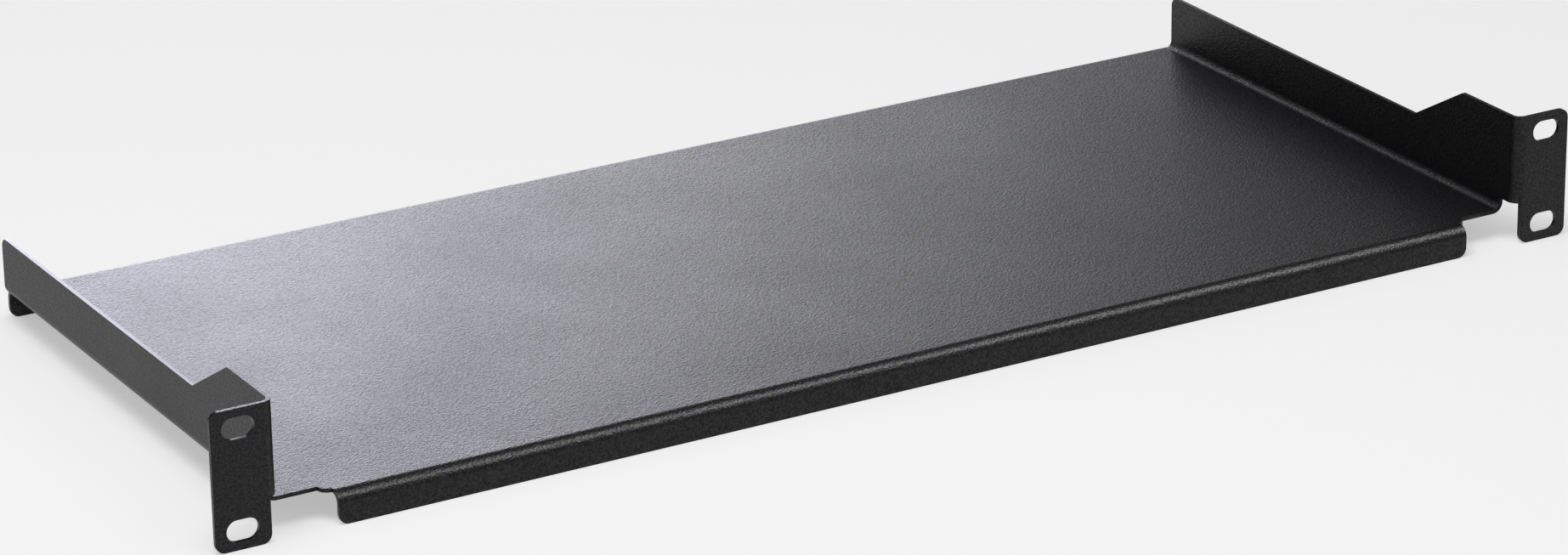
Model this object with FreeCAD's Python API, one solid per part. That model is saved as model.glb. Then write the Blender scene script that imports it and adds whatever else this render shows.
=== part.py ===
import FreeCAD, Part

import math
import os

from FreeCAD import Vector

# Cantilever rack shelf, one unit high: a single sheet of steel, cut flat and folded.
# It bolts to the two front rails of a 19 inch rack and carries its load on the tray behind them.
#
# Millimetres. X runs across the rack, Y into the rack and Z up. The origin is the middle of
# the four ear slots, on the back faces of the ears, which bear on the rack rails.

# Sheet and folds
sheet = 1.3                # thickness, powder coat included
bend_inside = 2.5          # inside radius of every fold

# Ears, with their slots on the hole pattern of a 19 inch rack
slot_span = 465.1          # between the slot centres of the two ears
slot_pitch = 31.75         # between the two slots of one ear
slot_length = 10.3
slot_height = 6.8
ear_height = 43.8          # one rack unit less the clearance between panels
ear_margin = 8.75          # slot centre to the outer edge of the ear
wall_margin = 10.55        # slot centre to the outer face of the side wall
ear_relief = 1.4           # outer face of the wall to the free lower part of the ear

# Tray and lips
depth = 203.2              # front faces of the ears to the rear lip
tray_rise = 10.3           # underside of the ears to the top face of the tray
tray_setback = 7.9         # front faces of the ears to the tray edge beside the front lip
lip_setback = 0.3          # front faces of the ears to the face of the front lip
front_lip_inset = 20.0     # outer face of the wall to the end of the front lip
rear_lip_inset = 2.35      # outer face of the wall to the end of the rear lip
tab_reach = 3.2            # how far the tray runs forward to its front lip, as a rounded tab

# Side walls
wall_rise = 28.9           # underside of the ears to the low rear part of the wall
shoulder_run = 29.7        # front faces of the ears to the end of the full-height shoulder
ramp_angle = 30.0          # degrees, slope from the shoulder down to the low part
neck_rise = 3.8            # top face of the tray to the open relief below the neck

# Corners of the cut outline
corner_radius = 3.2        # free corners of the ears, lips and walls
shoulder_radius = 1.0      # both ends of the ramp
shortest_edge = 0.001      # two arcs that meet closer than this have no line between them

# Places worked out from those sizes
bend_outside = bend_inside + sheet
bottom = -ear_height / 2
top = ear_height / 2
tray_top = bottom + tray_rise
tray_under = tray_top - sheet
wall_top = bottom + wall_rise
neck_under = tray_top + neck_rise
front = -sheet
rear = front + depth
tray_front = front + tray_setback
tray_rear = rear - bend_outside
wall_outer = slot_span / 2 - wall_margin
wall_inner = wall_outer - sheet
ear_outer = slot_span / 2 + ear_margin
front_lip_end = wall_outer - front_lip_inset
rear_lip_end = wall_outer - rear_lip_inset


def rounded_face(corners, place):
    """Flat face from (a, b, radius) corners, each rounded by a tangent arc.

    place turns the flat coordinates (a, b) into a point in space.
    """
    count = len(corners)
    starts = []
    mids = []
    ends = []
    for i in range(count):
        a, b, radius = corners[i]
        corner = Vector(a, b, 0)
        before = Vector(corners[i - 1][0], corners[i - 1][1], 0) - corner
        after = Vector(corners[(i + 1) % count][0], corners[(i + 1) % count][1], 0) - corner
        before.normalize()
        after.normalize()
        half_angle = before.getAngle(after) / 2
        reach = radius / math.tan(half_angle)
        bisector = (before + after).normalize()
        to_arc = radius / math.sin(half_angle) - radius
        starts.append(corner + before * reach)
        mids.append(corner + bisector * to_arc)
        ends.append(corner + after * reach)

    edges = []
    for i in range(count):
        following = starts[(i + 1) % count]
        if corners[i][2] > 0:
            arc_points = [place(p.x, p.y) for p in (starts[i], mids[i], ends[i])]
            edges.append(Part.Arc(*arc_points).toShape())
        if ends[i].distanceToPoint(following) > shortest_edge:
            edges.append(Part.makeLine(place(ends[i].x, ends[i].y),
                                       place(following.x, following.y)))
    return Part.Face(Part.Wire(edges))


def plan_face(corners, z):
    """Face in plan, from (x, y, radius) corners."""
    return rounded_face(corners, lambda x, y: Vector(x, y, z))


def front_face(corners, y):
    """Face seen from the front, from (x, z, radius) corners."""
    return rounded_face(corners, lambda x, z: Vector(x, y, z))


def side_face(corners, x):
    """Face seen from the side, from (y, z, radius) corners."""
    return rounded_face(corners, lambda y, z: Vector(x, y, z))


def mirrored(shape):
    """The same feature on the other side of the shelf."""
    return shape.mirror(Vector(0, 0, 0), Vector(1, 0, 0))


def make_channel():
    """Tray with its two side walls folded up, cut to the outline of the walls."""
    section = [(-wall_outer, top, 0),
               (-wall_outer, tray_under, bend_outside),
               (wall_outer, tray_under, bend_outside),
               (wall_outer, top, 0),
               (wall_inner, top, 0),
               (wall_inner, tray_top, bend_inside),
               (-wall_inner, tray_top, bend_inside),
               (-wall_inner, top, 0)]
    folded = front_face(section, tray_front).extrude(Vector(0, tray_rear - tray_front, 0))

    shoulder_end = front + shoulder_run
    ramp_end = shoulder_end + (top - wall_top) / math.tan(math.radians(ramp_angle))
    outline = [(tray_front, tray_under, 0),
               (tray_rear, tray_under, 0),
               (tray_rear, wall_top, corner_radius),
               (ramp_end, wall_top, shoulder_radius),
               (shoulder_end, top, shoulder_radius),
               (tray_front, top, 0)]
    cut_to = side_face(outline, -wall_outer).extrude(Vector(2 * wall_outer, 0, 0))
    return folded.common(cut_to)


def make_slot(z):
    """Cutter the shape of one obround slot in the right ear, at height z."""
    left = (slot_span - slot_length) / 2
    right = (slot_span + slot_length) / 2
    low = z - slot_height / 2
    high = z + slot_height / 2
    end_radius = slot_height / 2
    outline = [(left, low, end_radius),
               (right, low, end_radius),
               (right, high, end_radius),
               (left, high, end_radius)]
    return front_face(outline, front).extrude(Vector(0, sheet, 0))


def make_ear():
    """Right ear: folded out from the neck at the front of the wall, with its two slots."""
    section = [(wall_inner, tray_front, 0),
               (wall_inner, front, bend_outside),
               (ear_outer, front, 0),
               (ear_outer, 0, 0),
               (wall_outer, 0, bend_inside),
               (wall_outer, tray_front, 0)]
    folded = plan_face(section, bottom).extrude(Vector(0, 0, ear_height))

    free_edge = wall_outer + ear_relief
    outline = [(wall_inner, neck_under, 0),
               (free_edge, neck_under, 0),
               (free_edge, bottom, corner_radius),
               (ear_outer, bottom, corner_radius),
               (ear_outer, top, corner_radius),
               (wall_inner, top, 0)]
    cut_to = front_face(outline, front).extrude(Vector(0, tray_front - front, 0))
    ear = folded.common(cut_to)
    for z in (-slot_pitch / 2, slot_pitch / 2):
        ear = ear.cut(make_slot(z))
    return ear


def make_lip(edge, face, end):
    """Lip folded down from the tray edge at Y = edge, outer face at Y = face, X = -end to end."""
    inward = math.copysign(sheet, edge - face)
    section = [(edge, tray_top, 0),
               (face, tray_top, bend_outside),
               (face, bottom, 0),
               (face + inward, bottom, 0),
               (face + inward, tray_under, bend_inside),
               (edge, tray_under, 0)]
    folded = side_face(section, -end).extrude(Vector(2 * end, 0, 0))

    outline = [(-end, tray_top, 0),
               (-end, bottom, corner_radius),
               (end, bottom, corner_radius),
               (end, tray_top, 0)]
    cut_to = front_face(outline, face).extrude(Vector(0, edge - face, 0))
    return folded.common(cut_to)


def make_tab():
    """Rounded tab that carries the tray forward from its front edge to the front lip."""
    end = front_lip_end + tab_reach
    outline = [(-end, tray_front, 0),
               (-end, tray_front - tab_reach, tab_reach),
               (end, tray_front - tab_reach, tab_reach),
               (end, tray_front, 0)]
    return plan_face(outline, tray_under).extrude(Vector(0, 0, sheet))


def make_shelf():
    """The whole folded sheet as one solid."""
    ear = make_ear()
    front_lip = make_lip(tray_front, front + lip_setback, front_lip_end)
    rear_lip = make_lip(tray_rear, rear, rear_lip_end)
    folds = [ear, mirrored(ear), front_lip, rear_lip, make_tab()]
    return make_channel().fuse(folds).removeSplitter()


os.makedirs("parts", exist_ok=True)
shelf = make_shelf()
shelf.Solids[0].exportStep("parts/folded_shelf.step")
print("solids", len(shelf.Solids), "valid", shelf.isValid(), "volume", round(shelf.Volume))
print("size", shelf.BoundBox)
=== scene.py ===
# %% [markdown]
# A cantilever rack shelf: one sheet of steel, folded into a tray with two side
# walls, two stiffening lips and two bolting ears, then powder coated in
# fine-grain black. It could be drawn again here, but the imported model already
# has its true sizes. So that is loaded first, and all that follows is placed
# and measured from it.

# %% Load the frame
import math

import bpy
from mathutils import Matrix, Vector


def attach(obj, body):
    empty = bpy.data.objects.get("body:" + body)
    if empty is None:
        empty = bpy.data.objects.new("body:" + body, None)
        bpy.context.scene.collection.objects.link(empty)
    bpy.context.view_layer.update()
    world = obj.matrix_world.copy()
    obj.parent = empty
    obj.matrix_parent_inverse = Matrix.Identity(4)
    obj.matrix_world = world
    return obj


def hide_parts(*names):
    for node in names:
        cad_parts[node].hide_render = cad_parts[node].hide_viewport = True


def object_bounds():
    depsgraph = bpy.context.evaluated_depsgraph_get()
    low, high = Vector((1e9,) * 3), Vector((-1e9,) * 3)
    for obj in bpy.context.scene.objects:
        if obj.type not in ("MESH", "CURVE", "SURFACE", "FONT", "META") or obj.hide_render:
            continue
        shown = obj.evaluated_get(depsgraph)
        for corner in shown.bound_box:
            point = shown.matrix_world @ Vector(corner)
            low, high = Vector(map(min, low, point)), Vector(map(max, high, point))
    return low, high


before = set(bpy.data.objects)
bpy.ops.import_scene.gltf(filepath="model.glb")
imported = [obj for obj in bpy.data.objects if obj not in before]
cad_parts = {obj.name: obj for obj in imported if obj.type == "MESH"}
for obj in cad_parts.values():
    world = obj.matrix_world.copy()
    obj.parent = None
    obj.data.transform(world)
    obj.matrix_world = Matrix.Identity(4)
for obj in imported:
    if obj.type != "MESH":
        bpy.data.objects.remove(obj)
cad_low, cad_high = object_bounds()
bpy.ops.object.select_all(action="DESELECT")


def mm(metres, digits=1):
    """A length in metres as rounded millimetres, for printing."""
    return round(1000 * metres, digits)


print("the folded sheet, across, deep and high:",
      [mm(high - low) for low, high in zip(cad_low, cad_high)], "mm")

# %% [markdown]
# The camera stands in front of the shelf, to its left and above it. From nearby,
# a short lens would show it too, but with the near ear much larger than the far
# one. So the camera stands off and looks through a long lens, as for a
# catalogue. It leans by half a degree, and its film is slid a little to one
# side, which moves the shelf in the frame and leaves its perspective alone.

# %% Camera
SENSOR_WIDTH = 36.0
LENS = 127.235
FILM_SLIDE = (-0.04743, -0.04688)
CAMERA_PLACE = Vector((-0.820832, -1.339545, 0.629043))
TURN, TILT, LEAN = (math.radians(angle) for angle in (30.6803, 20.656, -0.5483))


def set_up_camera():
    """Stand the camera at its place, turned to the right, tilted down and leaned."""
    lens = bpy.data.cameras.new("long_lens")
    lens.sensor_fit, lens.sensor_width, lens.lens = "HORIZONTAL", SENSOR_WIDTH, LENS
    lens.shift_x, lens.shift_y = FILM_SLIDE
    camera = bpy.data.objects.new("camera", lens)
    camera.matrix_world = (
        Matrix.Translation(CAMERA_PLACE)
        @ Matrix.Rotation(-TURN, 4, "Z")
        @ Matrix.Rotation(math.pi / 2 - TILT, 4, "X")
        @ Matrix.Rotation(LEAN, 4, "Z")
    )
    bpy.context.scene.collection.objects.link(camera)
    bpy.context.scene.camera = camera


set_up_camera()
print("camera", mm(CAMERA_PLACE.length), "mm from the middle of the ears")

# %% [markdown]
# Three helpers serve every material. Colours are written as sRGB hex values, as
# on a paint chart, and one function turns them into the linear values that
# shaders work in. One adds a node with its settings, values and links, and one
# starts an empty material.

# %% Colour and node helpers
WHITE = "#ffffff"


def linear(hex_colour):
    """An sRGB hex colour as linear red, green and blue, with a full alpha."""
    parts = [int(hex_colour[i:i + 2], 16) / 255 for i in (1, 3, 5)]
    return tuple(p / 12.92 if p <= 0.04045 else ((p + 0.055) / 1.055) ** 2.4
                 for p in parts) + (1.0,)


def add_node(tree, kind, values=None, links=None, **settings):
    """A node of that kind, with its settings, socket values and incoming links."""
    node = tree.nodes.new(kind)
    for name, value in settings.items():
        setattr(node, name, value)
    for socket, value in (values or {}).items():
        node.inputs[socket].default_value = value
    for socket, source in (links or {}).items():
        tree.links.new(source, node.inputs[socket])
    return node


def new_material(name):
    """A material of that name with an empty node tree, and the tree."""
    material = bpy.data.materials.new(name)
    material.use_nodes = True
    material.node_tree.nodes.clear()
    return material, material.node_tree


# %% [markdown]
# The finish is a polyester powder coat: dry paint, drawn to the steel by an
# electric charge and baked until it flows together. It never flows quite flat,
# so it keeps a fine pebbled grain, whose crests mirror the light and whose
# hollows swallow it. The black is dense and the reflection satin. A plain black
# with an even gloss would look like plastic. The grains have no rows, so a
# noise texture is their nearest pattern: it makes the relief, and it paints
# shade into the hollows, as a weaker reflection there. A second, much slower
# noise varies the roughness a little, as an oven does over half a metre of sheet.

# %% Powder coat
COAT_BLACK = "#121213"
COAT_IOR = 1.36
GRAIN_PITCH = 0.0007    # too fine to show on the real coat, so drawn this coarse
CLOUD_PITCH = 0.045     # of the slow change in roughness
NOISE_DETAIL = 2.0
NOISE_LOW, NOISE_HIGH = 0.3, 0.7    # nearly all of the noise lies between these
EVEN_SHINE = 0.5        # halfway from hollow to crest, and what a plain coat has


def make_powder_coat(name, height, hollow_shade_depth, roughness):
    """Black coat with that height of grain, depth of painted shade in its hollows and
    range of roughness.
    """
    material, tree = new_material(name)
    place = add_node(tree, "ShaderNodeTexCoord")
    grain = add_node(
        tree, "ShaderNodeTexNoise",
        {"Scale": 1 / GRAIN_PITCH, "Detail": NOISE_DETAIL},
        {"Vector": place.outputs["Object"]})
    pebbles = add_node(
        tree, "ShaderNodeBump", {"Strength": 1.0, "Distance": height},
        {"Height": grain.outputs["Fac"]})
    # Painted shade in the grain: its hollows mirror less than its crests.
    painted_hollow_shade = add_node(
        tree, "ShaderNodeMapRange",
        {"From Min": NOISE_LOW, "From Max": NOISE_HIGH,
         "To Min": EVEN_SHINE - hollow_shade_depth, "To Max": EVEN_SHINE + hollow_shade_depth},
        {"Value": grain.outputs["Fac"]})
    cloud = add_node(
        tree, "ShaderNodeTexNoise",
        {"Scale": 1 / CLOUD_PITCH, "Detail": NOISE_DETAIL},
        {"Vector": place.outputs["Object"]})
    baked = add_node(
        tree, "ShaderNodeMapRange",
        {"From Min": NOISE_LOW, "From Max": NOISE_HIGH,
         "To Min": roughness[0], "To Max": roughness[1]},
        {"Value": cloud.outputs["Fac"]})
    coat = add_node(
        tree, "ShaderNodeBsdfPrincipled",
        {"Base Color": linear(COAT_BLACK), "IOR": COAT_IOR},
        {"Roughness": baked.outputs["Result"],
         "Specular IOR Level": painted_hollow_shade.outputs["Result"],
         "Normal": pebbles.outputs["Normal"]})
    add_node(tree, "ShaderNodeOutputMaterial", links={"Surface": coat.outputs["BSDF"]})
    return material


# %% [markdown]
# Hot powder creeps away from a cut edge, so what stays there is thin, smooth and
# glossier, and catches the light as a fine bright line. One coat all over would
# lose that line, so the same paint is made twice: full for the sheet's two
# sides, and thin for its cut edges, with less grain and less roughness.

# %% The full coat and the thin one
full_coat = make_powder_coat(
    "fine_grain_black_powder_coat",
    height=0.00018, hollow_shade_depth=0.25, roughness=(0.37, 0.41))
thin_coat = make_powder_coat(
    "thin_smooth_coat_on_cut_edges",
    height=0.000045, hollow_shade_depth=0.125, roughness=(0.29, 0.33))
print("grain drawn", mm(GRAIN_PITCH), "mm from crest to crest, in",
      full_coat.name, "and", thin_coat.name)

# %% [markdown]
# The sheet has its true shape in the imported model, with every bend, slot and
# rounded corner, but as loose triangles that no bevel can run along. The model
# itself stays as it is. A copy of it is merged into one skin, and its flat
# faces are cleared of their triangles, so that only its real edges are left.

# %% Merge the skin
MERGE_WITHIN = 0.000001
FLAT_WITHIN = math.radians(0.5)


def merge_the_skin(node):
    """A copy of that node of the model as one skin, with no edges across its flats."""
    sheet = bpy.data.objects.new("coated_sheet", node.data.copy())
    bpy.context.scene.collection.objects.link(sheet)
    bpy.ops.object.select_all(action="DESELECT")
    sheet.select_set(True)
    bpy.context.view_layer.objects.active = sheet
    bpy.ops.object.mode_set(mode="EDIT")
    bpy.ops.mesh.select_all(action="SELECT")
    bpy.ops.mesh.remove_doubles(threshold=MERGE_WITHIN)
    bpy.ops.mesh.customdata_custom_splitnormals_clear()
    bpy.ops.mesh.dissolve_limited(angle_limit=FLAT_WITHIN)
    bpy.ops.object.mode_set(mode="OBJECT")
    return sheet


sheet = merge_the_skin(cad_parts["folded_shelf"])
print("merged skin:", len(sheet.data.polygons), "faces")

# %% [markdown]
# The two coats go on the skin next. The cut edges could be picked one by one,
# but the metal behind a face tells them from the sheet's two sides: behind a
# side it is one sheet deep, and behind a cut edge far deeper. So a ray goes
# straight in from each face and measures it.

# %% Lay on the two coats
SHEET = 0.0013
DEEP = 1.5 * SHEET
JUST_UNDER = 0.000001
SIDES, CUT_EDGES = 0, 1


def metal_behind(sheet, face):
    """How deep the metal is behind a face, straight in from its middle."""
    start = face.center - face.normal * JUST_UNDER
    hit, end, _, _ = sheet.ray_cast(start, -face.normal)
    return (end - start).length if hit else 0.0


def lay_on_the_coats(sheet):
    """The full coat on the sheet's two sides, and the thin one on its cut edges."""
    sheet.data.materials.clear()
    for coat in (full_coat, thin_coat):
        sheet.data.materials.append(coat)
    for face in sheet.data.polygons:
        is_cut = metal_behind(sheet, face) > DEEP
        face.material_index = CUT_EDGES if is_cut else SIDES


def count_cut_edges(sheet):
    """How many faces of the sheet have the thin coat."""
    return sum(face.material_index == CUT_EDGES for face in sheet.data.polygons)


lay_on_the_coats(sheet)
print("thin coat on", count_cut_edges(sheet), "faces")

# %% [markdown]
# What the sheet still lacks is the thickness of its paint, which rounds every
# cut edge. The rounding could be faked in the shading, but a real one catches
# the light at every angle. So a Bevel modifier rounds each cut edge by a quarter
# of a millimetre, in the thin coat, and Weighted Normal keeps the flats flat
# beside the bends. The finished sheet then stands in for the model's own.

# %% Round the painted edges
EDGE_ROUND = 0.00025
EDGE_STEPS = 3
SHARP_FROM = math.radians(50)


def round_the_edges(sheet):
    """Round the sheet's cut edges, and shade its bends smooth and its flats flat."""
    edges = sheet.modifiers.new("painted_edges", "BEVEL")
    edges.limit_method, edges.angle_limit = "ANGLE", SHARP_FROM
    edges.width, edges.segments, edges.material = EDGE_ROUND, EDGE_STEPS, CUT_EDGES
    bpy.ops.object.modifier_apply(modifier=edges.name)
    bpy.ops.object.shade_smooth_by_angle(angle=SHARP_FROM)
    flats = sheet.modifiers.new("even_flats", "WEIGHTED_NORMAL")
    flats.keep_sharp = True
    bpy.ops.object.modifier_apply(modifier=flats.name)


round_the_edges(sheet)
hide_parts("folded_shelf")
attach(sheet, "root")
print("coated sheet:", len(sheet.data.polygons), "faces,",
      count_cut_edges(sheet), "of them on cut edges")

# %% [markdown]
# The shelf lies on white background paper, which is matt and keeps its shadow.
# More light would make the paper whiter, but the shelf lighter too. So a little
# white is added to the paper alone, for the eye and for mirrored and refracted
# rays. From below the paper is clear, so that the underside can be looked at.

# %% Paper
PAPER_WHITE = "#ececec"
PAPER_LIFT = 0.45


def make_paper():
    """Matt white paper with its lift, solid from above and clear from below."""
    material, tree = new_material("matt_white_background_paper")
    matt = add_node(tree, "ShaderNodeBsdfDiffuse", {"Color": linear(PAPER_WHITE)})
    rays = add_node(tree, "ShaderNodeLightPath")
    seen_or_mirrored = add_node(
        tree, "ShaderNodeMath", operation="MAXIMUM",
        links={0: rays.outputs["Is Camera Ray"], 1: rays.outputs["Is Glossy Ray"]})
    lifted = add_node(
        tree, "ShaderNodeMath", operation="MAXIMUM",
        links={0: seen_or_mirrored.outputs["Value"],
               1: rays.outputs["Is Transmission Ray"]})
    lift = add_node(
        tree, "ShaderNodeMath", {1: PAPER_LIFT}, {0: lifted.outputs["Value"]},
        operation="MULTIPLY")
    white = add_node(
        tree, "ShaderNodeEmission", {"Color": linear(WHITE)},
        {"Strength": lift.outputs["Value"]})
    above = add_node(
        tree, "ShaderNodeAddShader",
        links={0: matt.outputs["BSDF"], 1: white.outputs["Emission"]})
    below = add_node(tree, "ShaderNodeBsdfTransparent")
    side = add_node(tree, "ShaderNodeNewGeometry")
    paper = add_node(
        tree, "ShaderNodeMixShader",
        links={0: side.outputs["Backfacing"], 1: above.outputs["Shader"],
               2: below.outputs["BSDF"]})
    add_node(
        tree, "ShaderNodeOutputMaterial", links={"Surface": paper.outputs["Shader"]})
    return material


# %% [markdown]
# The sheet of paper is one wide plane, which is all that a flat floor needs. It
# lies at the lower edges of the shelf's lips and ears, on which the shelf rests.

# %% Lay the paper
PAPER_SIDE = 30.0


def lay_the_paper(paper, level):
    """Lay a wide sheet of that paper at that level, as the floor."""
    bpy.ops.mesh.primitive_plane_add(size=PAPER_SIDE, location=(0, 0, level))
    floor = bpy.context.object
    floor.name = "background_paper"
    floor.data.materials.append(paper)


lay_the_paper(make_paper(), cad_low.z)
print("paper at", mm(cad_low.z), "mm, under the lips and ears")

# %% [markdown]
# A black coat shows hardly any colour of its own: what the eye sees on it is
# what it mirrors. The tray mirrors whatever stands behind the shelf. A softbox
# there would show in it as a pale box with edges, so a cloth lit from behind
# stands there instead, whose light fades from its heart outwards. That gives
# the tray its even fall from silver at the left to black at the right. A
# Gradient texture with a quadratic fall is that glow, a little cooler at its
# heart than at its rim.

# %% Scrim cloth
SCRIM_REACH = 1.16      # from its heart to where it is dark, to the right
SCRIM_HIGH = 0.75       # and upwards
SCRIM_GLOW = 15.8
SCRIM_COOL = "#e3e4ff"


def make_scrim_cloth():
    """Cloth lit from behind: brightest at its heart, and dark at its reach."""
    material, tree = new_material("back_lit_scrim_cloth")
    place = add_node(tree, "ShaderNodeTexCoord")
    spread = add_node(
        tree, "ShaderNodeMapping", {"Scale": (1 / SCRIM_REACH, 1 / SCRIM_HIGH, 1)},
        {"Vector": place.outputs["Object"]})
    fade = add_node(
        tree, "ShaderNodeTexGradient", links={"Vector": spread.outputs["Vector"]},
        gradient_type="QUADRATIC_SPHERE")
    glow = add_node(
        tree, "ShaderNodeMath", {1: SCRIM_GLOW}, {0: fade.outputs["Fac"]},
        operation="MULTIPLY")
    tint = add_node(
        tree, "ShaderNodeMix", {"A": linear(WHITE), "B": linear(SCRIM_COOL)},
        {"Factor": fade.outputs["Fac"]}, data_type="RGBA")
    light = add_node(
        tree, "ShaderNodeEmission",
        links={"Color": tint.outputs["Result"], "Strength": glow.outputs["Value"]})
    add_node(
        tree, "ShaderNodeOutputMaterial", links={"Surface": light.outputs["Emission"]})
    return material


# %% [markdown]
# The cloth starts as a square plane, stood upright round its heart. Whole, it
# would also shine on the right wall and its bend, and reach below the floor. So
# it is cut twice with Bisect, at its heart and at the floor, and the parts to
# the left and below are cleared. It shines on glossy surfaces only, which keeps
# the paper under it even.

# %% Hang the scrim
SCRIM_HEART = Vector((0.05, 1.2, 0.3))
TO_THE_RIGHT, UPWARDS = Vector((1, 0, 0)), Vector((0, 0, 1))


def hang_the_scrim(cloth, floor_level):
    """Hang the cloth upright, from its heart to the right and from the floor up."""
    bpy.ops.mesh.primitive_plane_add(
        size=2 * SCRIM_REACH, location=SCRIM_HEART, rotation=(math.pi / 2, 0, 0))
    scrim = bpy.context.object
    scrim.name = "scrim"
    cuts = [(SCRIM_HEART, TO_THE_RIGHT), (Vector((0, 0, floor_level)), UPWARDS)]
    bpy.ops.object.mode_set(mode="EDIT")
    for cut, kept_side in cuts:
        bpy.ops.mesh.select_all(action="SELECT")
        bpy.ops.mesh.bisect(plane_co=cut, plane_no=kept_side, clear_inner=True)
    bpy.ops.object.mode_set(mode="OBJECT")
    scrim.data.materials.append(cloth)
    scrim.visible_camera = False
    scrim.visible_diffuse = False
    return scrim


scrim = hang_the_scrim(make_scrim_cloth(), cad_low.z)
print("scrim", mm(SCRIM_HEART.y - cad_high.y), "mm behind the shelf,",
      [mm(side, 0) for side in scrim.dimensions.xy], "mm across and high")

# %% [markdown]
# Two lamps do the rest, and both are softboxes, because a bare bulb would draw
# hard dots on the coat. A wide one overhead, to the front and left, lights the
# paper and lays the soft shadow. A narrow one to the front and right draws the
# long highlight on the front bend, and lights nothing matt. The air of the
# studio is a dim plain white, which keeps the dark walls readable.

# %% Lights
AIR_LIGHT = 0.2


def area_lamp(name, place, aim, size, watts):
    """A white softbox at that place, facing that aim, hidden from the camera."""
    data = bpy.data.lights.new(name, "AREA")
    data.shape = "RECTANGLE"
    data.size, data.size_y = size
    data.energy = watts
    lamp = bpy.data.objects.new(name, data)
    facing = (Vector(aim) - Vector(place)).to_track_quat("-Z", "Y")
    lamp.matrix_world = Matrix.Translation(place) @ facing.to_matrix().to_4x4()
    lamp.visible_camera = False
    bpy.context.scene.collection.objects.link(lamp)
    return lamp


def fill_the_air():
    """A plain white world at AIR_LIGHT."""
    world = bpy.data.worlds.new("studio_air")
    world.use_nodes = True
    air = world.node_tree.nodes["Background"]
    air.inputs["Color"].default_value = linear(WHITE)
    air.inputs["Strength"].default_value = AIR_LIGHT
    bpy.context.scene.world = world


overhead = area_lamp(
    "overhead_softbox",
    place=(-0.5, -0.3, 1.8), aim=(0, 0.1, 0), size=(1.3, 1.0), watts=14)
strip = area_lamp(
    "strip_softbox",
    place=(0.78, -0.72, 1.2), aim=(0, 0, 0), size=(1.1, 0.16), watts=27)
strip.visible_diffuse = False
fill_the_air()
bpy.context.scene.view_settings.view_transform = "Standard"
for lamp in (overhead, strip):
    print(lamp.name, round(lamp.data.energy), "W")
